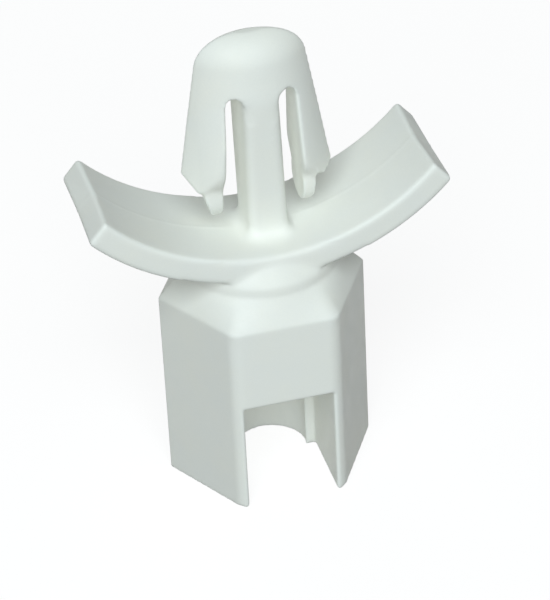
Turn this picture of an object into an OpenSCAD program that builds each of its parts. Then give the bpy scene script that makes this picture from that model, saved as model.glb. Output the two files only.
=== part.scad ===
// Push-in hexagonal support with a snap nose, moulded in one piece from nylon.
// From the bottom up: a hexagonal body that takes a screw, a round collar, two
// bowed spring wings that press on a panel, a flat stem through the panel's hole,
// and a nose with two barbs that close as they go through it.
// +Z runs along the axis towards the nose and the wings lie along X.

/* [Hexagonal body] */
// Width across the flats
hex_flats = 7; // [6:0.1:10]
// Height of the hexagonal body
hex_height = 8; // [7:0.1:14]
// Diameter of the screw bore
bore_diameter = 2.8; // [2:0.1:3.2]
// Depth of the screw bore from the bottom face
bore_depth = 6.8; // [5.6:0.1:6.9]
// Width of the notch in the front flat
notch_width = 3.5; // [3.3:0.1:3.9]
// Height of the notch
notch_height = 4.6; // [2:0.1:5]
// Distance from the axis to the back of the notch
notch_setback = 0.3; // [0:0.05:0.6]

/* [Collar] */
// Diameter of the round collar
collar_diameter = 6; // [5.2:0.1:6.8]
// Height of the shoulder between the hexagon and the collar
shoulder_height = 1.1; // [0.6:0.1:2]
// Height of the round collar below the wings
collar_height = 0.4; // [0.2:0.1:2]

/* [Wings] */
// Span over both wing tips
wing_span = 13.7; // [12:0.1:15]
// Width of the wings, front to back
wing_width = 4.9; // [3.6:0.1:5.1]
// Thickness of the wings
wing_thickness = 1; // [0.8:0.05:1.2]
// Radius of the wings' hollow upper face
wing_radius = 8.4; // [8.2:0.1:12]
// Length of the stiff middle, from the axis to where a wing starts to bend
wing_root = 2.6; // [2.4:0.1:2.8]

/* [Stem] */
// Width of the stem where it meets the wings
stem_foot_width = 1.4; // [1.2:0.05:1.7]
// Width of the stem where it meets the nose
stem_top_width = 1.26; // [1:0.02:1.4]
// Depth of the stem, front to back
stem_depth = 2.3; // [1.6:0.1:2.5]
// Height of the stem from the wings to the nose
stem_height = 5.8; // [5.4:0.1:8]

/* [Nose and barbs] */
// Depth of the nose at its foot, front to back
nose_depth = 2.5; // [2.3:0.05:3]
// Height of the nose above the stem
nose_height = 2.5; // [2.2:0.1:3.4]
// Width of the nose at its foot, side to side
nose_width = 4.7; // [4.4:0.1:5.2]
// Radius between the top and the sides of the nose
nose_radius = 1.35; // [1:0.05:1.6]
// Slope of the sides of the nose and barbs, from upright
nose_slope = 8; // [5:0.5:10]
// Width of the slots between the stem and the barbs
slot_width = 0.7; // [0.5:0.05:0.9]
// How far a slot opens up towards its lower end
slot_flare = 0.12; // [0:0.02:0.2]
// Length of a barb from the nose to its outer corner
barb_length = 3.1; // [2.6:0.1:3.6]
// Height of the ramp under a barb's outer corner
barb_ramp = 0.65; // [0.4:0.05:0.9]
// Width of the sole between a barb's inner face and the end of its ramp
barb_sole = 0.7; // [0.5:0.05:0.8]
// Depth of the tongue as a share of the nose's depth
tongue_share = 0.72; // [0.6:0.02:0.9]
// Distance from a barb's inner face to the tongue's, where the tongue starts
tongue_setback = 0.08; // [0:0.02:0.12]
// Length of the tongue below a barb
tongue_length = 1.1; // [0.6:0.05:1.3]
// Thickness of the tongue where it leaves the barb
tongue_thickness = 0.52; // [0.4:0.02:0.6]
// Thickness of the tongue at its tip
tongue_tip = 0.42; // [0.3:0.02:0.5]

/* [Hinges] */
// Gap between a flexing piece and what holds it
hinge_gap = 0.04; // [0.02:0.01:0.08]
// Share of a flexing arm's length at which it seems to turn
bend_share = 0.15; // [0.12:0.01:0.18]

/* [Hidden] */
$fn = 96;
loft_sides = 48;
skin = 0.01;
far = 40;

// Heights along the axis.
collar_foot = hex_height + shoulder_height;
hub_foot = collar_foot + collar_height;
hub_top = hub_foot + wing_thickness;
nose_foot = hub_top + stem_height;
nose_top = nose_foot + nose_height;

// Hexagonal body.
hex_corner = hex_flats / 2 / cos(30);

// Wings: a ring's lower part, about a centre high on the axis.
wing_centre = hub_top + wing_radius;
wing_outer = wing_radius + wing_thickness;
wing_middle = wing_radius + wing_thickness / 2;
wing_end_angle = asin(wing_span / 2 / wing_outer);
wing_root_angle = asin(wing_root / wing_middle);
wing_pivot_angle = wing_root_angle + bend_share * (wing_end_angle - wing_root_angle);
wing_pivot_x = wing_middle * sin(wing_pivot_angle);
wing_pivot_z = wing_centre - wing_middle * cos(wing_pivot_angle);
wing_knuckle = 0.8 * wing_thickness;

// Nose: two equal round bodies set apart front and back, and what they share. Their
// sides meet in a ridge all along the outline that shows from the front.
half_width = nose_width / 2;
half_depth = nose_depth / 2;
lens_offset = (half_width * half_width - half_depth * half_depth) / nose_depth;
lens_radius = half_depth + lens_offset;
lens_corner_z = nose_top - nose_radius;
lens_side_z = lens_corner_z + nose_radius * sin(nose_slope);
function lens_at(z) = lens_radius + (nose_foot - z) * tan(nose_slope);
lens_corner_x = lens_at(lens_side_z) - nose_radius * cos(nose_slope);
function side_at(z) = sqrt(lens_at(z) * lens_at(z) - lens_offset * lens_offset);

// Slots and barbs.
slot_inner = stem_top_width / 2;
slot_outer = slot_inner + slot_width;
barb_foot = nose_foot - barb_length;
ramp_foot = barb_foot - barb_ramp;
tongue_foot = ramp_foot - tongue_length;
barb_inner = slot_outer + slot_flare;
barb_round = half_depth;
tongue_round = tongue_share * half_depth;
barb_root_middle = (slot_outer + half_width) / 2;
barb_pivot_z = nose_foot - bend_share * barb_length;
barb_knuckle = 0.75 * (half_width - slot_outer);

// Turns an outline drawn in X and Z into a solid of the given depth about Y = 0.
module upright(depth) {
    rotate([90, 0, 0])
        linear_extrude(height = depth, center = true)
            children();
}

// Turns an outline drawn in Y and Z into a solid of the given width about X = 0.
module sideways(width) {
    rotate([90, 0, 90])
        linear_extrude(height = width, center = true)
            children();
}

// The wedge of the wings' ring between two angles from straight down.
module wing_band(from, to) {
    intersection() {
        translate([0, wing_centre])
            difference() {
                circle(r = wing_outer);
                circle(r = wing_radius);
            }
        translate([0, wing_centre])
            polygon([[0, 0],
                     [far * sin(from), -far * cos(from)],
                     [far * sin(to), -far * cos(to)]]);
    }
}

// The round room in which the root of the right wing turns.
module wing_socket(radius) {
    translate([wing_pivot_x, wing_pivot_z])
        circle(r = radius);
}

module hex_body() {
    color("honeydew")
        difference() {
            cylinder(h = hex_height, r = hex_corner, $fn = 6);
            translate([-notch_width / 2, -far, -skin])
                cube([notch_width, far - notch_setback, notch_height + skin]);
            translate([0, 0, -skin])
                cylinder(h = bore_depth + skin, d = bore_diameter);
        }
}

module collar() {
    color("mintcream") {
        hull() {
            translate([0, 0, hex_height])
                cylinder(h = skin, r = hex_corner, $fn = 6);
            translate([0, 0, collar_foot - skin])
                cylinder(h = skin, d = collar_diameter, $fn = loft_sides);
        }
        translate([0, 0, collar_foot])
            cylinder(h = collar_height, d = collar_diameter);
    }
}

module wing_hub() {
    color("mintcream")
        difference() {
            union() {
                upright(wing_width)
                    wing_band(-wing_pivot_angle, wing_pivot_angle);
                translate([0, 0, hub_foot])
                    cylinder(h = wing_thickness, d1 = collar_diameter, d2 = wing_width);
            }
            for (side = [0, 1])
                mirror([side, 0, 0])
                    upright(far)
                        wing_socket(wing_knuckle + hinge_gap);
            stem();
        }
}

module wing(side) {
    color("ivory")
        mirror([side, 0, 0])
            upright(wing_width) {
                wing_band(wing_pivot_angle, wing_end_angle);
                intersection() {
                    wing_band(0, wing_end_angle);
                    wing_socket(wing_knuckle);
                }
            }
}

module stem() {
    color("mintcream")
        upright(stem_depth)
            polygon([[-stem_foot_width / 2, hub_top],
                     [stem_foot_width / 2, hub_top],
                     [stem_top_width / 2, nose_foot],
                     [-stem_top_width / 2, nose_foot]]);
}

// Half the outline of the round body that the nose and the barbs are cut from.
module lens_profile() {
    polygon([[0, tongue_foot],
             [lens_at(tongue_foot), tongue_foot],
             [lens_at(lens_side_z), lens_side_z],
             [0, lens_side_z]]);
    intersection() {
        translate([lens_corner_x, lens_corner_z])
            circle(r = nose_radius);
        square([far, far]);
    }
    translate([0, lens_corner_z])
        square([lens_corner_x, nose_radius]);
}

// The solid that nose and barbs are cut from.
module nose_blank() {
    intersection_for(side = [-1, 1])
        translate([0, side * lens_offset, 0])
            rotate_extrude()
                lens_profile();
}

module nose() {
    color("mintcream")
        difference() {
            nose_blank();
            translate([-far / 2, -far / 2, nose_foot - far])
                cube([far, far, far]);
            for (side = [0, 1])
                mirror([side, 0, 0])
                    upright(far) {
                        translate([slot_inner + slot_width / 2, nose_foot])
                            circle(d = slot_width);
                        translate([barb_root_middle, barb_pivot_z])
                            circle(r = barb_knuckle + hinge_gap);
                    }
        }
}

// The right barb from the front: root, sloping side, ramp and tongue.
module barb_front() {
    intersection() {
        polygon([[slot_outer, barb_pivot_z],
                 [slot_outer, far],
                 [far, far],
                 [far, barb_pivot_z]]);
        translate([barb_root_middle, barb_pivot_z])
            circle(r = barb_knuckle);
    }
    polygon([[slot_outer, barb_pivot_z],
             [side_at(barb_pivot_z), barb_pivot_z],
             [side_at(barb_foot), barb_foot],
             [barb_inner + barb_sole, ramp_foot],
             [barb_inner, ramp_foot]]);
}

module tongue_front() {
    polygon([[barb_inner + tongue_setback, barb_foot],
             [barb_inner + tongue_setback + tongue_thickness, barb_foot],
             [barb_inner + tongue_setback + tongue_thickness, ramp_foot],
             [barb_inner + tongue_tip, tongue_foot],
             [barb_inner, tongue_foot],
             [barb_inner + tongue_setback, ramp_foot]]);
}

// A round-ended finger in Y and Z, reaching down to the given height.
module finger(radius, foot) {
    translate([0, foot + radius])
        circle(r = radius);
    translate([-radius, foot + radius])
        square([2 * radius, far]);
}

module barb(side) {
    color("ivory")
        mirror([side, 0, 0])
            intersection() {
                nose_blank();
                union() {
                    intersection() {
                        upright(far)
                            barb_front();
                        sideways(far)
                            finger(barb_round, ramp_foot);
                    }
                    intersection() {
                        upright(far)
                            tongue_front();
                        sideways(far)
                            finger(tongue_round, tongue_foot);
                    }
                }
            }
}

hex_body();
collar();
wing_hub();
wing(1);  // wing_left
wing(0);  // wing_right
stem();
nose();
barb(1);  // barb_left
barb(0);  // barb_right
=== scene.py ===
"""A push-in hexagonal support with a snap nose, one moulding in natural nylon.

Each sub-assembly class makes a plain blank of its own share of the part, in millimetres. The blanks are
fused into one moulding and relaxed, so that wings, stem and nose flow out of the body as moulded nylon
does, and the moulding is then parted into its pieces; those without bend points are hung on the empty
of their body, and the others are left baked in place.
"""

import logging
import math
from dataclasses import dataclass, field
from enum import Enum
from typing import Callable, Iterable, Sequence

import bmesh
import bpy
from mathutils import Matrix, Vector


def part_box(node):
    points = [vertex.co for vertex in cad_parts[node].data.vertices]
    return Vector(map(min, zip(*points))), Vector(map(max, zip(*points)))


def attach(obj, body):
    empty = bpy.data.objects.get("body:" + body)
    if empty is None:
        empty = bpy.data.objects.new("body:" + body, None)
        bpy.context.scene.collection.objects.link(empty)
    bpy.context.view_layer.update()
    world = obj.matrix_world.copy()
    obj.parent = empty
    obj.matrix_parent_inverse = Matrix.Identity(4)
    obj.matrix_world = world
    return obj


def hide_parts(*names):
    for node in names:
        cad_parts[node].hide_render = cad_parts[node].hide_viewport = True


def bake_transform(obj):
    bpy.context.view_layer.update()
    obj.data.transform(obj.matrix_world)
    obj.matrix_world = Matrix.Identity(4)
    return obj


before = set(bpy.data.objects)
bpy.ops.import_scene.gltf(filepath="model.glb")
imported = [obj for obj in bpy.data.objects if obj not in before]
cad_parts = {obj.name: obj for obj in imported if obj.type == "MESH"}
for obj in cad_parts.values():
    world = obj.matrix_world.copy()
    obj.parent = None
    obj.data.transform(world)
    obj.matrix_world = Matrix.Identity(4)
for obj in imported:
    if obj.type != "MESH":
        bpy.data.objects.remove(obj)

LOG = logging.getLogger("hexagonal_support")
MILLIMETRE = 0.001
EDGE_LAYER = "edge"
ROUND_STEPS = 96
# How far cutting shapes reach past the part's front, back and sides, and below what they cut.
PAST = 4.0
BELOW = 1.0
# A corner radius as a share of half the width, where the end of an outline is a half circle.
NEARLY_ROUND = 0.99


class Plane(Enum):
    """The plane that a flat outline is drawn in, and so the way its prism runs."""

    FRONT = "x and z, running along y"
    SIDE = "y and z, running along x"


class Cut(Enum):
    """What a cutting shape does to a blank."""

    TAKE_AWAY = "DIFFERENCE"
    KEEP_COMMON = "INTERSECT"


class Hand(Enum):
    """A side of the part, seen from the front, as the sign of x."""

    LEFT = -1
    RIGHT = 1

    @property
    def word(self) -> str:
        """The side's name in piece and body names."""
        return self.name.lower()

    def pick(self, pair: tuple[float, float]) -> float:
        """This side's value of a pair given left first."""
        return pair[self is Hand.RIGHT]


def box_mm(node: str) -> tuple[Vector, Vector]:
    """The box of a CAD node in millimetres.

    Args:
        node: The node's name.

    Returns:
        Its lowest and highest corner.
    """
    low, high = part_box(node)
    return low / MILLIMETRE, high / MILLIMETRE


def grow(
    bm: bmesh.types.BMesh, faces: Sequence[bmesh.types.BMFace]
) -> tuple[list[bmesh.types.BMFace], list[bmesh.types.BMVert]]:
    """Extrudes a sheet of faces in place, ready to be moved.

    Args:
        bm: The shape.
        faces: The sheet that is extruded.

    Returns:
        The faces and the vertices of the new sheet.
    """
    edges = list({edge for face in faces for edge in face.edges})
    grown = bmesh.ops.extrude_face_region(bm, geom=list(faces) + edges)["geom"]
    sheet = [g for g in grown if isinstance(g, bmesh.types.BMFace)]
    return sheet, [g for g in grown if isinstance(g, bmesh.types.BMVert)]


@dataclass
class Outline:
    """A flat closed outline whose corners may be rounded, ready to be made a solid."""

    corners: Sequence[tuple[float, float]]
    rounds: dict[int, float] = field(default_factory=dict)
    steps: int = 14

    def draw(self, plane: Plane, at: float) -> bmesh.types.BMesh:
        """Draws the outline as one face.

        Args:
            plane: The plane that it is drawn in.
            at: Where that plane stands on the axis across it.

        Returns:
            The face with its corners rounded.
        """
        bm = bmesh.new()
        place = {
            Plane.FRONT: lambda across, up: (across, at, up),
            Plane.SIDE: lambda across, up: (at, across, up),
        }[plane]
        verts = [bm.verts.new(place(across, up)) for across, up in self.corners]
        bm.faces.new(verts)
        for number, reach in self.rounds.items():
            bmesh.ops.bevel(
                bm, geom=[verts[number]], offset=reach, offset_type="OFFSET", affect="VERTICES",
                segments=self.steps, profile=0.5, material=-1, clamp_overlap=True,
            )
        return bm

    def prism(self, plane: Plane, low: float, high: float) -> bmesh.types.BMesh:
        """Makes the outline a prism.

        Args:
            plane: The plane that the outline is drawn in.
            low: Where the prism starts on the axis across that plane.
            high: Where it ends.

        Returns:
            The closed prism.
        """
        bm = self.draw(plane, low)
        _, moved = grow(bm, bm.faces[:])
        run = high - low
        way = {Plane.FRONT: Vector((0, run, 0)), Plane.SIDE: Vector((run, 0, 0))}[plane]
        bmesh.ops.translate(bm, verts=moved, vec=way)
        bmesh.ops.recalc_face_normals(bm, faces=bm.faces)
        return bm

    def turned(self, centre: Vector, steps: int) -> bmesh.types.BMesh:
        """Turns the outline about an upright axis that one of its sides lies on.

        Args:
            centre: A point of the axis.
            steps: How many steps a full turn takes.

        Returns:
            The closed round body.
        """
        bm = self.draw(Plane.FRONT, 0.0)
        bmesh.ops.delete(bm, geom=bm.faces[:], context="FACES_ONLY")
        on_axis = [e for e in bm.edges if all(abs(v.co.x) < 1e-6 for v in e.verts)]
        bmesh.ops.delete(bm, geom=on_axis, context="EDGES")
        bmesh.ops.translate(bm, verts=bm.verts, vec=centre)
        bmesh.ops.spin(
            bm, geom=bm.verts[:] + bm.edges[:], cent=centre, axis=(0, 0, 1), angle=math.tau, steps=steps,
            use_merge=True, use_duplicate=False,
        )
        bmesh.ops.remove_doubles(bm, verts=bm.verts, dist=1e-5)
        bmesh.ops.recalc_face_normals(bm, faces=bm.faces)
        return bm


def as_object(bm: bmesh.types.BMesh, name: str) -> bpy.types.Object:
    """Moves a bmesh into a new object in the scene.

    Args:
        bm: The shape, which is freed.
        name: The name of the object and of its mesh.

    Returns:
        The new object.
    """
    mesh = bpy.data.meshes.new(name)
    bm.to_mesh(mesh)
    bm.free()
    made = bpy.data.objects.new(name, mesh)
    bpy.context.scene.collection.objects.link(made)
    return made


def discard(*objects: bpy.types.Object) -> None:
    """Removes working objects and their meshes."""
    for made in objects:
        mesh = made.data
        bpy.data.objects.remove(made)
        bpy.data.meshes.remove(mesh)


def evaluated(made: bpy.types.Object) -> bmesh.types.BMesh:
    """The shape of an object once its modifiers have worked."""
    graph = bpy.context.evaluated_depsgraph_get()
    bm = bmesh.new()
    bm.from_object(made, graph)
    return bm


def carve(blank: bmesh.types.BMesh, cutter: bmesh.types.BMesh, cut: Cut) -> bmesh.types.BMesh:
    """Cuts one solid with another.

    Args:
        blank: The solid that is cut, which is freed.
        cutter: The cutting solid, which is freed.
        cut: What the cutter does.

    Returns:
        The solid that is left.
    """
    work, tool = as_object(blank, "work"), as_object(cutter, "tool")
    boolean = work.modifiers.new("cut", "BOOLEAN")
    boolean.operation = cut.value
    boolean.solver = "EXACT"
    boolean.object = tool
    left = evaluated(work)
    discard(work, tool)
    return left


def sharp_edges(bm: bmesh.types.BMesh, angle: float) -> list[bmesh.types.BMEdge]:
    """The edges at which a shape turns by more than an angle in radians."""
    return [e for e in bm.edges if e.is_manifold and e.calc_face_angle(0.0) > angle]


def soften(bm: bmesh.types.BMesh, edges: Iterable[bmesh.types.BMEdge], radius: float) -> None:
    """Rounds edges over with a small radius in millimetres."""
    bmesh.ops.bevel(
        bm, geom=list(edges), offset=radius, offset_type="OFFSET", affect="EDGES", segments=4,
        profile=0.5, material=-1, clamp_overlap=True,
    )


@dataclass
class HexagonalBody:
    """The hexagonal body with its screw bore and the notch in its front flat."""

    bore_radius: float = 1.4
    bore_depth: float = 6.8
    notch_width: float = 3.5
    notch_height: float = 4.6
    notch_back: float = -0.3
    corner_radius: float = 0.34
    height: float = field(init=False)
    corner: float = field(init=False)

    def __post_init__(self) -> None:
        """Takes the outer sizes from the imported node."""
        _, high = box_mm("hex_body")
        self.corner, self.height = high.x, high.z

    def blank(self) -> bmesh.types.BMesh:
        """The body's share of the moulding."""
        bm = bmesh.new()
        bmesh.ops.create_cone(
            bm, cap_ends=True, segments=6, radius1=self.corner, radius2=self.corner, depth=self.height,
            matrix=Matrix.Translation((0, 0, self.height / 2)) @ Matrix.Rotation(math.pi / 6, 4, "Z"),
        )
        upright = [
            e for e in bm.edges
            if abs(e.verts[0].co.z - e.verts[1].co.z) > 1 and abs(e.verts[0].co.y) > 1
        ]
        soften(bm, upright, self.corner_radius)
        drill = bmesh.new()
        bmesh.ops.create_cone(
            drill, cap_ends=True, segments=ROUND_STEPS, radius1=self.bore_radius, radius2=self.bore_radius,
            depth=self.bore_depth + BELOW,
            matrix=Matrix.Translation((0, 0, (self.bore_depth - BELOW) / 2)),
        )
        bm = carve(bm, drill, Cut.TAKE_AWAY)
        half, height = self.notch_width / 2, self.notch_height
        notch = Outline([(-half, -BELOW), (half, -BELOW), (half, height), (-half, height)])
        return carve(bm, notch.prism(Plane.FRONT, -2 * self.corner, self.notch_back), Cut.TAKE_AWAY)


@dataclass
class RoundCollar:
    """The shoulder that runs from the hexagon to a circle, and the short round collar on it."""

    body: HexagonalBody
    shoulder_height: float = 1.1
    radius: float = 3.0
    corner_angle: float = math.radians(4.3)
    steps: int = 288
    levels: tuple[float, ...] = (-0.2, 0.0, 0.35, 0.7, 1.0)
    ring_sink: float = 0.4
    ring_draft: float = 0.01
    top: float = field(init=False)

    def __post_init__(self) -> None:
        """Takes the collar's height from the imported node."""
        self.top = box_mm("collar")[1].z

    def outline(self, angle: float, share: float) -> tuple[float, float]:
        """A point of the shoulder's outline, which goes from the hexagon to the collar's circle.

        Args:
            angle: The point's angle about the axis.
            share: How far up the shoulder it is, from 0 at the hexagon to 1 at the circle.

        Returns:
            Its x and y.
        """
        half_side = math.pi / 6
        off = abs((angle + half_side) % (2 * half_side) - half_side)
        hexagon = self.body.corner * math.cos(half_side) / math.cos(half_side - off)
        bend = self.body.corner_radius * math.sqrt(3)
        middle = self.body.corner - bend / math.cos(half_side)
        if abs(math.sin(angle)) > 0.5 and off < self.corner_angle:
            hexagon = middle * math.cos(off) + math.sqrt(bend ** 2 - (middle * math.sin(off)) ** 2)
        reach = hexagon + (self.radius - hexagon) * max(share, 0.0)
        return reach * math.cos(angle), reach * math.sin(angle)

    def blank(self) -> bmesh.types.BMesh:
        """The collar's share of the moulding, sunk a little into the body."""
        foot = self.body.height
        bm = bmesh.new()
        rings = [
            [bm.verts.new((*self.outline(angle, share), foot + self.shoulder_height * share))
             for angle in (math.tau * step / self.steps for step in range(self.steps))]
            for share in self.levels
        ]
        for low, high in zip(rings, rings[1:]):
            for step in range(self.steps):
                after = (step + 1) % self.steps
                bm.faces.new((low[step], low[after], high[after], high[step]))
        bm.faces.new(rings[0])
        bm.faces.new(rings[-1])
        ring = foot + self.shoulder_height - self.ring_sink
        bmesh.ops.create_cone(
            bm, cap_ends=True, segments=ROUND_STEPS, radius1=self.radius - self.ring_draft,
            radius2=self.radius, depth=self.top - ring,
            matrix=Matrix.Translation((0, 0, (self.top + ring) / 2)),
        )
        bmesh.ops.recalc_face_normals(bm, faces=bm.faces)
        return bm


@dataclass
class SpringWings:
    """The two bowed wings and the plate between them, one ring sector a little thicker at its edges."""

    collar: RoundCollar
    thickness: float = 1.0
    edge_swell: float = 0.05
    edge_radius: float = 0.15
    overhang: float = 0.004
    tip_lean: float = 0.018
    sharp_angle: float = math.radians(35)
    steps: int = 72
    seat_radius: float = 2.4
    seat_crease: float = 0.06
    seat_cover: float = 0.25
    half_span: float = field(init=False)
    half_width: float = field(init=False)
    inner: float = 8.4
    foot: float = field(init=False)

    def __post_init__(self) -> None:
        """Takes span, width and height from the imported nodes."""
        _, high = box_mm("wing_right")
        self.half_span, self.half_width = high.x, high.y
        self.foot = self.collar.top

    @property
    def outer(self) -> float:
        """Radius of the wings' lower face."""
        return self.inner + self.thickness

    @property
    def top(self) -> float:
        """Height of the plate's upper face on the axis."""
        return self.foot + self.thickness

    @property
    def centre(self) -> Vector:
        """The centre that the wings bow about."""
        return Vector((0, 0, self.top + self.inner))

    @property
    def end_angle(self) -> float:
        """The angle of a wing's end from straight down."""
        return math.asin(self.half_span / self.outer) + self.overhang

    def on_ring(self, radius: float, angle: float, y: float) -> Vector:
        """The point at a radius and an angle from straight down."""
        return self.centre + Vector((radius * math.sin(angle), y, -radius * math.cos(angle)))

    def set_section(self, verts: Iterable[bmesh.types.BMVert], y: float, draft: float) -> None:
        """Moves one side of the sector to where it stands.

        Args:
            verts: The side's vertices.
            y: Where the side stands, front to back.
            draft: How much of the full draft it takes, from 0 to 1.
        """
        for vert in verts:
            arm = vert.co - self.centre
            lower = math.hypot(arm.x, arm.z) > self.inner + self.thickness / 2
            angle = math.atan2(arm.x, -arm.z) * (1 if lower else 1 + draft * self.tip_lean)
            radius = self.outer + draft * self.edge_swell if lower else self.inner
            vert.co = self.on_ring(radius, angle, y)

    def blank(self) -> bmesh.types.BMesh:
        """The wings' share of the moulding: the bowed sector and the round seat under its middle."""
        bm = bmesh.new()
        ends = [
            bm.verts.new(self.on_ring(radius, -self.end_angle, -self.half_width))
            for radius in (self.inner, self.outer)
        ]
        bmesh.ops.spin(
            bm, geom=ends + [bm.edges.new(ends)], cent=self.centre, axis=(0, -1, 0),
            angle=2 * self.end_angle, steps=self.steps, use_merge=False, use_duplicate=False,
        )
        self.set_section(bm.verts[:], -self.half_width, 0.0)
        rounds = bm.verts[:]
        faces = bm.faces[:]
        for y, draft in ((0.0, 0.0), (self.half_width, 1.0)):
            faces, moved = grow(bm, faces)
            self.set_section(moved, y, draft)
        self.set_section(rounds, -self.half_width, 1.0)
        bmesh.ops.recalc_face_normals(bm, faces=bm.faces)
        soften(bm, sharp_edges(bm, self.sharp_angle), self.edge_radius)
        seat_foot, seat_top = self.foot - self.seat_crease, self.top - self.seat_cover
        bmesh.ops.create_cone(
            bm, cap_ends=True, segments=ROUND_STEPS, radius1=self.collar.radius, radius2=self.seat_radius,
            depth=seat_top - seat_foot, matrix=Matrix.Translation((0, 0, (seat_foot + seat_top) / 2)),
        )
        bmesh.ops.recalc_face_normals(bm, faces=bm.faces)
        return bm


@dataclass
class Stem:
    """The flat stem between the wings and the nose, flared into the wings at its foot."""

    wings: SpringWings
    foot_half_width: float = 0.76
    top_half_width: float = 0.705
    top_offset: float = 0.095
    foot_offset: float = 0.2
    foot_half_depth: float = 1.05
    top_half_depth: float = 1.24
    corner_radius: float = 0.34
    flare: float = 0.5
    flare_steps: int = 9
    sink_up: float = 0.9
    sink_down: float = 0.3
    top: float = field(init=False)

    def __post_init__(self) -> None:
        """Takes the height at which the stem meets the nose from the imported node."""
        self.top = box_mm("stem")[1].z

    def blank(self) -> bmesh.types.BMesh:
        """The stem's share of the moulding, sunk into the wings below and the nose above."""
        half_x, half_y = self.foot_half_width, self.foot_half_depth
        bm = bmesh.new()
        bmesh.ops.create_grid(
            bm, x_segments=1, y_segments=1, size=1.0, matrix=Matrix.Diagonal((half_x, half_y, 1, 1)),
        )
        bmesh.ops.bevel(
            bm, geom=bm.verts[:], offset=self.corner_radius, offset_type="OFFSET", affect="VERTICES",
            segments=5, profile=0.5, material=-1, clamp_overlap=True,
        )
        foot = self.wings.top
        rise = self.top - foot
        share_top = (self.top_half_width / half_x, self.top_half_depth / half_y)
        sections = [(self.top + self.sink_up, *share_top), (self.top, *share_top)]
        for step in range(self.flare_steps + 1):
            turn = math.pi / 2 * step / self.flare_steps
            height = foot + self.flare * (1 - math.sin(turn))
            out = self.flare * (1 - math.cos(turn))
            along = (height - foot) / rise
            sections.append((
                height,
                1 + (share_top[0] - 1) * along + out / half_x,
                1 + (share_top[1] - 1) * along + out / half_y,
            ))
        sections.append((foot - self.sink_down, sections[-1][1], sections[-1][2]))
        faces, verts = bm.faces[:], bm.verts[:]
        before_wide, before_deep = 1.0, 1.0
        for number, (height, wide, deep) in enumerate(sections):
            if number:
                faces, verts = grow(bm, faces)
            bmesh.ops.scale(bm, verts=verts, vec=(wide / before_wide, deep / before_deep, 1))
            for vert in verts:
                vert.co.z = height
            before_wide, before_deep = wide, deep
        for vert in bm.verts:
            along = min(1.0, max(0.0, (self.top - vert.co.z) / rise))
            vert.co.x += self.top_offset + (self.foot_offset - self.top_offset) * along
        bmesh.ops.recalc_face_normals(bm, faces=bm.faces)
        return bm


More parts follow.
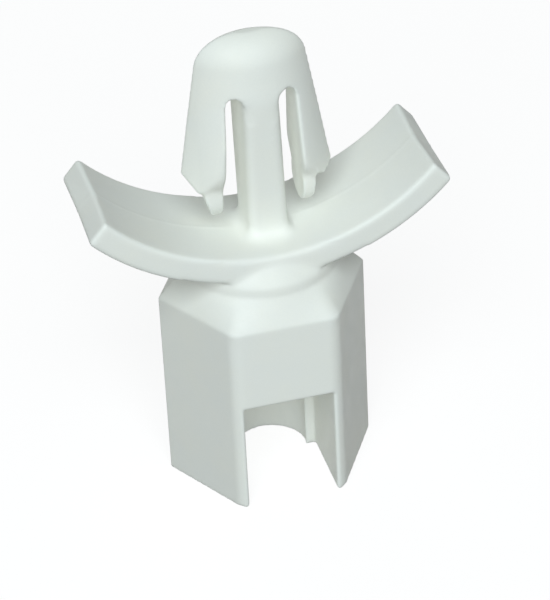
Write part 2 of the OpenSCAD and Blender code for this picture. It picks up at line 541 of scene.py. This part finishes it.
@dataclass
class SnapNose:
    """The round-shouldered nose with its two barbs, each with a thin tongue below."""

    stem: Stem
    half_width: float = 2.35
    half_depth: float = 1.25
    corner_radius: float = 1.35
    slope: float = math.radians(8)
    slot_outer: tuple[float, float] = (1.18, 1.45)
    slot_overlap: float = 0.1
    barb_spread: tuple[float, float] = (0.23, 0.1)
    barb_outer: float = 2.3
    ramp_end: float = 2.18
    ramp_foot: float = 12.45
    ramp_rounds: tuple[float, float] = (0.12, 0.2)
    barb_feet: tuple[float, float] = (13.3, 12.8)
    tongue_foot: float = 11.4
    tongue_top: float = 13.3
    tongue_rounds: tuple[float, float] = (0.1, 0.14)
    tongue_thickness: tuple[float, float] = (0.9, 0.58)
    tongue_tip: float = 0.48
    tongue_setback: float = 0.05
    tongue_share: float = 0.72
    turn_steps: int = 144
    top: float = 18.84
    low: float = field(init=False)
    far: float = field(init=False)
    foot: float = field(init=False)

    def __post_init__(self) -> None:
        """Takes the height of the nose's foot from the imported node, and the ends of the cutting shapes."""
        self.low, self.far = self.tongue_foot - BELOW, self.top + 2 * BELOW
        self.foot = self.stem.top

    @property
    def offset(self) -> float:
        """How far each of the two round bodies stands from the middle, front or back."""
        return (self.half_width ** 2 - self.half_depth ** 2) / (2 * self.half_depth)

    def radius_at(self, height: float) -> float:
        """Radius of either round body at a height."""
        return self.half_depth + self.offset + (self.foot - height) * math.tan(self.slope)

    def side_at(self, height: float) -> float:
        """Half the width of the nose or the barbs at a height."""
        return math.sqrt(self.radius_at(height) ** 2 - self.offset ** 2)

    def lens(self, low: float) -> bmesh.types.BMesh:
        """What two equal round bodies share that stand apart, front and back.

        Args:
            low: How far down the bodies reach.

        Returns:
            The closed shape.
        """
        reach = self.corner_radius * math.tan((math.pi / 2 - self.slope) / 2)
        profile = Outline(
            [(0, low), (self.radius_at(low), low), (self.radius_at(self.top), self.top), (0, self.top)],
            rounds={2: reach}, steps=20,
        )
        front, back = (
            profile.turned(Vector((0, side * self.offset, 0)), self.turn_steps) for side in (-1, 1)
        )
        return carve(front, back, Cut.KEEP_COMMON)

    def finger(self, half: float, foot: float) -> bmesh.types.BMesh:
        """A round-ended upright finger, seen from the side, that a barb or tongue is trimmed with."""
        outline = Outline(
            [(-half, foot), (half, foot), (half, self.far), (-half, self.far)],
            rounds={0: half * NEARLY_ROUND, 1: half * NEARLY_ROUND},
        )
        return outline.prism(Plane.SIDE, -PAST, PAST)

    def slot(self, hand: Hand) -> bmesh.types.BMesh:
        """One slot with its round top.

        Args:
            hand: The side that it is on.

        Returns:
            The shape that is cut away.
        """
        side = hand.value
        inner = self.stem.top_half_width + side * self.stem.top_offset
        outer = hand.pick(self.slot_outer)
        round_end = (outer - inner) / 2 * NEARLY_ROUND
        arch, below = self.foot + round_end, inner - self.slot_overlap
        outline = Outline(
            [(side * x, z) for x, z in (
                (below, self.low), (outer, self.low), (outer, arch), (inner, arch),
            )], rounds={2: round_end, 3: round_end}, steps=10,
        )
        return outline.prism(Plane.FRONT, -PAST, PAST)

    def blank(self) -> bmesh.types.BMesh:
        """The nose's and barbs' share of the moulding, without the tongues."""
        corner, wide, far = self.ramp_end, PAST, self.far
        left, right = (
            self.ramp_foot + (wide - corner) * (foot - self.ramp_foot) / (self.side_at(foot) - corner)
            for foot in self.barb_feet
        )
        keep = Outline([
            (-corner, self.ramp_foot), (corner, self.ramp_foot),
            (wide, right), (wide, far), (-wide, far), (-wide, left),
        ], rounds=dict(enumerate(self.ramp_rounds)), steps=4)
        bm = carve(self.lens(self.low), keep.prism(Plane.FRONT, -PAST, PAST), Cut.KEEP_COMMON)
        bm = carve(bm, self.finger(self.half_depth, self.ramp_foot), Cut.KEEP_COMMON)
        for hand in Hand:
            bm = carve(bm, self.slot(hand), Cut.TAKE_AWAY)
        half = self.stem.top_half_width + 2 * self.slot_overlap
        left, right = self.stem.top_offset - half, self.stem.top_offset + half
        gap = Outline([(left, self.low), (right, self.low), (right, self.foot), (left, self.foot)])
        return carve(bm, gap.prism(Plane.FRONT, -PAST, PAST), Cut.TAKE_AWAY)

    def tongue(self, hand: Hand) -> bmesh.types.BMesh:
        """One thin tongue, sunk into the barb above it.

        Args:
            hand: The side that it is on.

        Returns:
            The closed shape.
        """
        side, inner, foot, up = hand.value, hand.pick(self.slot_outer), self.tongue_foot, self.tongue_top
        back = inner + self.tongue_setback
        front = back + hand.pick(self.tongue_thickness)
        outline = Outline([
            (side * x, z) for x, z in (
                (inner, foot), (inner + self.tongue_tip, foot),
                (front, self.ramp_foot), (front, up), (back, up), (back, self.ramp_foot),
            )
        ], rounds=dict(enumerate(self.tongue_rounds)), steps=4)
        bm = carve(self.lens(self.low), outline.prism(Plane.FRONT, -PAST, PAST), Cut.KEEP_COMMON)
        return carve(bm, self.finger(self.half_depth * self.tongue_share, foot), Cut.KEEP_COMMON)

    def spread(self, verts: Iterable[bmesh.types.BMVert]) -> None:
        """Opens the slots downwards, by leaning the inner faces of barbs and tongues outwards.

        Args:
            verts: The moulding's vertices.
        """
        for vert in verts:
            x, z = abs(vert.co.x), vert.co.z
            if 1.0 < x < self.barb_outer and self.tongue_foot - 0.2 < z < self.foot:
                hand = Hand.RIGHT if vert.co.x > 0 else Hand.LEFT
                down = (self.foot - z) / (self.foot - self.ramp_foot)
                share = min(1.0, (self.barb_outer - x) / (self.barb_outer - hand.pick(self.slot_outer)))
                vert.co.x += hand.value * hand.pick(self.barb_spread) * down * share


@dataclass
class Relaxing:
    """A share of the moulding and how many times its surface is relaxed."""

    where: Callable[[Vector], bool]
    times: int


@dataclass
class Moulding:
    """The whole part as one skin, before it is parted into its pieces."""

    voxel: float = 0.0602
    edge_passes: int = 8
    edge_scale: float = 0.05
    skin: bmesh.types.BMesh | None = None

    def fuse(self, blanks: Sequence[bmesh.types.BMesh]) -> None:
        """Fuses the blanks into one closed skin.

        Args:
            blanks: The blanks, which are freed.
        """
        heap = bmesh.new()
        for blank in blanks:
            spare = bpy.data.meshes.new("blank")
            blank.to_mesh(spare)
            blank.free()
            heap.from_mesh(spare)
            bpy.data.meshes.remove(spare)
        work = as_object(heap, "moulding")
        remesh = work.modifiers.new("fuse", "REMESH")
        remesh.mode = "VOXEL"
        remesh.voxel_size = self.voxel
        remesh.adaptivity = 0.0
        self.skin = evaluated(work)
        discard(work)
        for face in self.skin.faces:
            face.smooth = True

    def smooth(self, verts: list[bmesh.types.BMVert], times: int) -> None:
        """Moves vertices towards their neighbours a number of times."""
        for _ in range(times):
            bmesh.ops.smooth_vert(
                self.skin, verts=verts, factor=0.5, use_axis_x=True, use_axis_y=True, use_axis_z=True,
            )

    def relax(self, shares: Sequence[Relaxing]) -> None:
        """Relaxes the skin where each share says."""
        for share in shares:
            self.smooth([v for v in self.skin.verts if share.where(v.co)], share.times)

    def bead(self, where: Callable[[Vector], bool], height: float, half_width: float) -> None:
        """Raises the fine line that the two halves of the mould leave at y = 0.

        Args:
            where: Picks the stretch of the skin that shows the line.
            height: Height of the line.
            half_width: Distance from the middle at which it has mostly faded.
        """
        self.skin.normal_update()
        for vert in self.skin.verts:
            if abs(vert.co.y) < 3 * half_width and where(vert.co):
                vert.co += vert.normal * height * math.exp(-((vert.co.y / half_width) ** 2))

    def mark_edges(self) -> None:
        """Writes how far each point stands out from the surface round it, which the finish reads to paint a
        highlight on convex edges and a warm shade in hollows.
        """
        layer = self.skin.verts.layers.float.new(EDGE_LAYER)
        self.skin.normal_update()
        verts = self.skin.verts[:]
        kept = [(v.co.copy(), v.normal.copy()) for v in verts]
        self.smooth(verts, self.edge_passes)
        for vert, (place, normal) in zip(verts, kept):
            vert[layer] = (place - vert.co).dot(normal) / self.edge_scale
            vert.co = place

    def cut_off(self, shape: bmesh.types.BMesh, co: Vector, no: Vector) -> bmesh.types.BMesh:
        """Cuts off what lies on the side of a plane that its normal points to, and closes both parts.

        Args:
            shape: The shape that is cut, which keeps the rest.
            co: A point of the plane.
            no: The plane's normal.

        Returns:
            The part that was cut off.
        """
        taken = shape.copy()
        for half, side in ((taken, {"clear_inner": True}), (shape, {"clear_outer": True})):
            found = bmesh.ops.bisect_plane(
                half, geom=half.verts[:] + half.edges[:] + half.faces[:], dist=1e-6, plane_co=co,
                plane_no=no, **side,
            )
            rim = [g for g in found["geom_cut"] if isinstance(g, bmesh.types.BMEdge)]
            for cap in bmesh.ops.edgeloop_fill(half, edges=rim)["faces"]:
                cap.smooth = False
                for edge in cap.edges:
                    edge.smooth = False
        return taken

    def take_out(self, shape: bmesh.types.BMesh, picks: Callable[[Vector], bool]) -> bmesh.types.BMesh:
        """Takes out the loose parts of a shape that a test picks by their lowest point.

        Args:
            shape: The shape, which keeps the rest.
            picks: The test, given the lowest point of each loose part.

        Returns:
            The loose parts that were picked.
        """
        taken = shape.copy()
        for half, wanted in ((taken, True), (shape, False)):
            half.verts.index_update()
            seen = bytearray(len(half.verts))
            drop: list[bmesh.types.BMVert] = []
            for start in half.verts:
                if seen[start.index]:
                    continue
                seen[start.index] = 1
                group, queue = [start], [start]
                while queue:
                    for edge in queue.pop().link_edges:
                        for vert in edge.verts:
                            if not seen[vert.index]:
                                seen[vert.index] = 1
                                group.append(vert)
                                queue.append(vert)
                lowest = min(group, key=lambda v: v.co.z)
                if picks(lowest.co) is not wanted:
                    drop.extend(group)
            bmesh.ops.delete(half, geom=drop, context="VERTS")
        return taken


class Nodes:
    """A short way to lay out a material's nodes."""

    def __init__(self, name: str) -> None:
        """Starts a material with nothing but its output and a shader."""
        self.material = bpy.data.materials.new(name)
        self.material.use_nodes = True
        self.tree = self.material.node_tree
        self.tree.nodes.clear()
        self.output = self.tree.nodes.new("ShaderNodeOutputMaterial")
        self.shader = self.add("ShaderNodeBsdfPrincipled")
        self.link(self.shader.outputs["BSDF"], self.output.inputs["Surface"])

    def add(self, kind: str, **settings: object) -> bpy.types.Node:
        """Adds a node and sets its properties.

        Args:
            kind: The node's type.
            settings: Properties of the node, by name.

        Returns:
            The node.
        """
        node = self.tree.nodes.new(kind)
        for name, value in settings.items():
            setattr(node, name, value)
        return node

    def link(self, source: bpy.types.NodeSocket, target: bpy.types.NodeSocket) -> None:
        """Links an output to an input."""
        self.tree.links.new(source, target)

    def noise(
        self, source: bpy.types.NodeSocket, scale: float, detail: float, rough: float
    ) -> bpy.types.Node:
        """Adds a noise that reads a place in millimetres.

        Args:
            source: The place.
            scale: Spots to the millimetre.
            detail: Octaves.
            rough: Weight of the finer octaves.

        Returns:
            The noise node.
        """
        node = self.add("ShaderNodeTexNoise")
        node.inputs["Scale"].default_value = scale
        node.inputs["Detail"].default_value = detail
        node.inputs["Roughness"].default_value = rough
        self.link(source, node.inputs["Vector"])
        return node

    def spread(
        self, source: bpy.types.NodeSocket, low: float, high: float, to_low: float, to_high: float
    ) -> bpy.types.NodeSocket:
        """Maps one range of values to another and holds it there."""
        node = self.add("ShaderNodeMapRange")
        for name, value in zip(("From Min", "From Max", "To Min", "To Max"), (low, high, to_low, to_high)):
            node.inputs[name].default_value = value
        self.link(source, node.inputs["Value"])
        return node.outputs["Result"]

    def mix(self, share: bpy.types.NodeSocket, first: object, second: object) -> bpy.types.NodeSocket:
        """Mixes two colours, each given as a colour or as an output."""
        node = self.add("ShaderNodeMix", data_type="RGBA")
        self.link(share, node.inputs["Factor"])
        colours = [socket for socket in node.inputs if socket.type == "RGBA"]
        for socket, value in zip(colours, (first, second)):
            if isinstance(value, bpy.types.NodeSocket):
                self.link(value, socket)
            else:
                socket.default_value = (*value, 1.0)
        return next(socket for socket in node.outputs if socket.type == "RGBA")


@dataclass(frozen=True)
class NaturalNylon:
    """Undyed moulded nylon: milky, faintly green, with a fine satin skin, painted with a lighter, cooler
    highlight along its convex edges and a warm shade in its hollows, and glowing faintly with its own colour
    as painted light.
    """

    name: str = "natural_nylon"
    milky: tuple[float, float, float] = (0.805, 0.830, 0.785)
    # Painted highlight: the lighter, cooler tint laid on convex edges.
    clear: tuple[float, float, float] = (0.810, 0.862, 0.850)
    # Painted shade: the warm tint laid in hollows and creases.
    hollow_shade_tint: tuple[float, float, float] = (0.820, 0.800, 0.690)
    # Painted light: the nylon emits its own colour at this strength, lifting its shade as if lit from
    # within.
    glow: float = 0.12
    roughness: float = 0.55
    roughness_spread: float = 0.08
    grain: float = 14.0
    ripple: float = 2.2
    cloud: float = 0.45
    bump: float = 0.10
    ior: float = 1.53
    specular: float = 0.3

    def material(self) -> bpy.types.Material:
        """Makes the material."""
        nodes = Nodes(self.name)
        place = nodes.add("ShaderNodeTexCoord").outputs["Object"]
        scaled = nodes.add("ShaderNodeMapping")
        scaled.inputs["Scale"].default_value = (1 / MILLIMETRE,) * 3
        nodes.link(place, scaled.inputs["Vector"])
        spot = scaled.outputs["Vector"]
        cloud = nodes.noise(spot, self.cloud, 3.0, 0.55)
        ripple = nodes.noise(spot, self.ripple, 2.0, 0.5)
        grain = nodes.noise(spot, self.grain, 4.0, 0.6)
        edge = nodes.add("ShaderNodeAttribute", attribute_name=EDGE_LAYER)
        # Share of painted highlight, growing with how far the skin stands out at convex edges.
        out = nodes.spread(edge.outputs["Fac"], 0.1, 1.4, 0.0, 0.85)
        # Share of painted warm shade, growing with how far the skin sinks in hollows and creases.
        hollow_shade_share = nodes.spread(edge.outputs["Fac"], -0.1, -1.6, 0.0, 0.6)
        mottled = nodes.mix(
            nodes.spread(cloud.outputs["Fac"], 0.35, 0.7, 0.0, 1.0), self.milky,
            tuple(channel * shade for channel, shade in zip(self.milky, (1.02, 1.01, 0.985))),
        )
        speckled = nodes.mix(
            nodes.spread(grain.outputs["Fac"], 0.3, 0.75, 0.0, 0.35), mottled,
            tuple(channel * 0.94 for channel in self.milky),
        )
        # Painted highlight: convex edges take the lighter, cooler tint.
        lit = nodes.mix(out, speckled, self.clear)
        # Painted shade: hollows and creases take the warm tint.
        colour = nodes.mix(hollow_shade_share, lit, self.hollow_shade_tint)
        nodes.link(colour, nodes.shader.inputs["Base Color"])
        # Painted light: the part glows with its own colour, painted highlight and painted shade included.
        nodes.link(colour, nodes.shader.inputs["Emission Color"])
        nodes.shader.inputs["Emission Strength"].default_value = self.glow
        nodes.link(
            nodes.spread(
                ripple.outputs["Fac"], 0.3, 0.7, self.roughness - self.roughness_spread,
                self.roughness + self.roughness_spread,
            ),
            nodes.shader.inputs["Roughness"],
        )
        coarse = nodes.add("ShaderNodeBump")
        coarse.inputs["Strength"].default_value = self.bump
        coarse.inputs["Distance"].default_value = 0.05 * MILLIMETRE
        nodes.link(ripple.outputs["Fac"], coarse.inputs["Height"])
        fine = nodes.add("ShaderNodeBump")
        fine.inputs["Strength"].default_value = self.bump
        fine.inputs["Distance"].default_value = 0.01 * MILLIMETRE
        nodes.link(grain.outputs["Fac"], fine.inputs["Height"])
        nodes.link(coarse.outputs["Normal"], fine.inputs["Normal"])
        nodes.link(fine.outputs["Normal"], nodes.shader.inputs["Normal"])
        nodes.shader.inputs["IOR"].default_value = self.ior
        nodes.shader.inputs["Specular IOR Level"].default_value = self.specular
        return nodes.material


@dataclass(frozen=True)
class PaleFloor:
    """A plain pale paper floor."""

    name: str = "pale_paper"
    colour: tuple[float, float, float] = (0.2, 0.2, 0.2)
    glow: float = 0.86

    def material(self) -> bpy.types.Material:
        """Makes the material."""
        nodes = Nodes(self.name)
        nodes.shader.inputs["Base Color"].default_value = (*self.colour, 1.0)
        nodes.shader.inputs["Roughness"].default_value = 0.9
        nodes.shader.inputs["Specular IOR Level"].default_value = 0.1
        nodes.shader.inputs["Emission Color"].default_value = (1.0, 1.0, 1.0, 1.0)
        nodes.shader.inputs["Emission Strength"].default_value = self.glow
        return nodes.material


@dataclass
class Piece:
    """A finished piece of the part: its shape, the node it stands for and what it rides on."""

    name: str
    shape: bmesh.types.BMesh
    node: str
    body: str
    bends_from: Vector | None = None
    bends_to: Vector | None = None
    slot: str = "nylon"
    core: str = "support"

    def finish(self, material: bpy.types.Material) -> bpy.types.Object:
        """Brings the piece to metres, dresses it and hides its node, and hangs it on its body unless it has
        bend points, which leave it baked in place.

        Args:
            material: The piece's finish.

        Returns:
            The finished object.
        """
        bmesh.ops.scale(self.shape, verts=self.shape.verts, vec=(MILLIMETRE,) * 3)
        made = as_object(self.shape, self.name)
        made.data.materials.append(material)
        if self.bends_from is None or self.bends_to is None:
            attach(made, self.body)
        else:
            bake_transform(made)
        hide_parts(self.node)
        LOG.info("%s: %d faces, for %s, with %s", self.name, len(made.data.polygons), self.node, self.body)
        return made


@dataclass
class Support:
    """The whole part: its sub-assemblies, the moulding they make and the pieces it parts into."""

    body: HexagonalBody = field(default_factory=HexagonalBody)
    collar: RoundCollar = field(init=False)
    wings: SpringWings = field(init=False)
    stem: Stem = field(init=False)
    nose: SnapNose = field(init=False)
    moulding: Moulding = field(default_factory=Moulding)
    wing_root: float = math.radians(19.5)
    wing_cut: float = math.radians(9)
    wing_bend: tuple[float, float] = (2.95, 4.3)
    gate_height: float = 18.765
    bead_height: float = 0.012
    bead_half_width: float = 0.09

    def __post_init__(self) -> None:
        """Builds the sub-assemblies on one another."""
        self.collar = RoundCollar(self.body)
        self.wings = SpringWings(self.collar)
        self.stem = Stem(self.wings)
        self.nose = SnapNose(self.stem)

    def near_tongue(self, co: Vector) -> bool:
        """Whether a point is on a tongue."""
        nose = self.nose
        return nose.tongue_foot - 0.1 < co.z < nose.ramp_foot - 0.05 and 1.3 < abs(co.x) < 2.4

    def mould(self) -> None:
        """Fuses and relaxes the moulding, and adds the marks that the mould leaves."""
        nose, stem, wings = self.nose, self.stem, self.wings
        self.moulding.fuse([
            self.body.blank(), self.collar.blank(), wings.blank(),
            carve(stem.blank(), nose.lens(self.body.height), Cut.KEEP_COMMON), nose.blank(),
            *(nose.tongue(hand) for hand in Hand),
        ])
        self.moulding.relax([
            Relaxing(self.near_tongue, 3),
            Relaxing(lambda co: not self.near_tongue(co), 5),
            Relaxing(lambda co: abs(co.x) < 3.6 and self.collar.top - 0.25 < co.z < wings.top + 0.2, 16),
            Relaxing(lambda co: abs(co.x) < 1.4 and wings.top - 0.1 < co.z < wings.top + 0.8, 6),
            Relaxing(
                lambda co: abs(co.x - stem.top_offset) < stem.top_half_width - 0.12 and abs(co.y) > 0.8
                and stem.top - 0.8 < co.z < stem.top + 1.0, 50,
            ),
            Relaxing(
                lambda co: abs(co.x - stem.top_offset) < stem.top_half_width + 0.05
                and stem.top - 0.5 < co.z < stem.top + 0.3, 12,
            ),
            Relaxing(lambda co: 1.1 < abs(co.x) < 2.1 and nose.ramp_foot + 0.1 < co.z < stem.top, 28),
        ])
        nose.spread(self.moulding.skin.verts)
        for vert in self.moulding.skin.verts:
            vert.co.z = min(vert.co.z, self.gate_height)
        self.moulding.bead(
            lambda co: abs(co.x) > 1.0 and wings.foot + 0.2 < co.z < nose.tongue_top,
            self.bead_height, self.bead_half_width,
        )
        self.moulding.mark_edges()
        LOG.info("moulding: %d faces in one skin", len(self.moulding.skin.faces))

    def pieces(self) -> list[Piece]:
        """Parts the moulding into its pieces."""
        part, hexagon, up = self.moulding.cut_off, self.moulding.skin, Vector((0, 0, 1))
        collar = part(hexagon, Vector((0, 0, self.body.height - 0.1)), up)
        seat = part(collar, Vector((0, 0, self.collar.top - 0.2)), up)
        crown = part(seat, Vector((0, 0, self.stem.top + 0.25)), up)
        barbs = {
            hand: self.moulding.take_out(
                seat, lambda co, hand=hand: co.x * hand.value > 1.0 and co.z > self.wings.top + 0.6,
            )
            for hand in Hand
        }
        blades = {}
        for hand in Hand:
            middle = self.wings.inner + self.wings.thickness / 2
            root = self.wings.on_ring(middle, hand.value * self.wing_root, 0.0)
            way = Vector((hand.value * math.cos(self.wing_cut), 0, math.sin(self.wing_cut)))
            blades[hand] = part(seat, root, way)
        post = part(seat, Vector((0, 0, self.wings.top + 0.6)), up)
        made = [
            Piece("hexagonal_body", hexagon, "hex_body", "support"),
            Piece("round_collar", collar, "collar", "support"),
            Piece("wing_seat", seat, "wing_hub", "support"),
            Piece("stem_post", post, "stem", "support"),
            Piece("snap_nose", crown, "nose", "support"),
        ]
        for hand in Hand:
            side = hand.value
            low, high = self.wing_bend
            made.append(Piece(
                f"{hand.word}_wing_blade", blades[hand], f"wing_{hand.word}", f"{hand.word}_wing",
                Vector((side * low, 0, 10.6)), Vector((side * high, 0, 11.2)),
            ))
            made.append(Piece(
                f"{hand.word}_barb_arm", barbs[hand], f"barb_{hand.word}", f"{hand.word}_barb",
                Vector((side * 1.9, 0, self.stem.top + 0.2)), Vector((side * 1.95, 0, self.stem.top - 1.5)),
            ))
        return made


@dataclass(frozen=True)
class Studio:
    """Camera, floor and soft lights."""

    azimuth: float = math.radians(-13.64)
    elevation: float = math.radians(34.09)
    roll: float = math.radians(-2.98)
    distance: float = 121.29
    right_shift: float = 0.1735
    up_shift: float = 5.797
    lens: float = 184.46
    film: float = 36.0

    def axes(self) -> tuple[Vector, Vector, Vector]:
        """The camera's right, up and backward directions."""
        az, el = self.azimuth, self.elevation
        back = Vector((math.sin(az) * math.cos(el), -math.cos(az) * math.cos(el), math.sin(el)))
        flat = Vector((math.cos(az), math.sin(az), 0))
        rise = back.cross(flat)
        right = flat * math.cos(self.roll) + rise * math.sin(self.roll)
        up = rise * math.cos(self.roll) - flat * math.sin(self.roll)
        return right, up, back

    def camera(self) -> None:
        """Stands the camera."""
        right, up, back = self.axes()
        place = (back * self.distance + right * self.right_shift + up * self.up_shift) * MILLIMETRE
        lens = bpy.data.cameras.new("camera")
        lens.sensor_fit = "VERTICAL"
        lens.sensor_height = self.film
        lens.lens = self.lens
        lens.clip_start = 0.005
        lens.clip_end = 20.0
        made = bpy.data.objects.new("camera", lens)
        made.matrix_world = Matrix.Translation(place) @ Matrix((right, up, back)).transposed().to_4x4()
        bpy.context.scene.collection.objects.link(made)
        bpy.context.scene.camera = made

    def floor(self) -> None:
        """Lays the floor just under the part."""
        bm = bmesh.new()
        bmesh.ops.create_circle(
            bm, cap_ends=True, segments=64, radius=3.0,
            matrix=Matrix.Translation((0, 0, -0.01 * MILLIMETRE)),
        )
        made = as_object(bm, "floor")
        made.data.materials.append(PaleFloor().material())
        made.visible_diffuse = False

    def softbox(self, name: str, place: Sequence[float], size: float, energy: float,
                colour: Sequence[float] = (1.0, 1.0, 1.0)) -> None:
        """Hangs a square soft light that faces the part.

        Args:
            name: The light's name.
            place: Where it hangs, in metres.
            size: Its side.
            energy: Its power in watts.
            colour: Its colour.
        """
        light = bpy.data.lights.new(name, "AREA")
        light.shape = "SQUARE"
        light.size = size
        light.energy = energy
        light.color = colour
        made = bpy.data.objects.new(name, light)
        target = Vector((0, 0, 0.010))
        turn = (Vector(place) - target).to_track_quat("Z", "Y")
        made.matrix_world = Matrix.Translation(place) @ turn.to_matrix().to_4x4()
        bpy.context.scene.collection.objects.link(made)

    def lights(self) -> None:
        """Hangs the lights and sets the pale surroundings."""
        self.softbox("key", (-0.095, -0.335, 0.300), 0.34, 2.05, (0.93, 1.0, 1.03))
        self.softbox("back", (-0.03, 0.43, 0.09), 0.3, 0.4, (0.95, 1.0, 1.0))
        world = bpy.data.worlds.new("surroundings")
        world.use_nodes = True
        background = world.node_tree.nodes["Background"]
        background.inputs["Color"].default_value = (0.95, 1.0, 0.95, 1.0)
        background.inputs["Strength"].default_value = 0.07
        bpy.context.scene.world = world
        bpy.context.scene.view_settings.view_transform = "Standard"

    def build(self) -> None:
        """Builds the studio."""
        self.camera()
        self.floor()
        self.lights()


def corners(box: tuple[Vector, Vector]) -> list[list[float]]:
    """A box as plain lists of numbers."""
    return [list(corner) for corner in box]


def main() -> None:
    """Builds the part and the studio."""
    logging.basicConfig(level=logging.INFO, format="%(name)s: %(message)s")
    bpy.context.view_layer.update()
    Studio().build()
    support = Support()
    support.mould()
    nylon = NaturalNylon().material()
    for piece in support.pieces():
        piece.finish(nylon)
    bpy.context.view_layer.update()


if __name__ == "__main__":
    main()
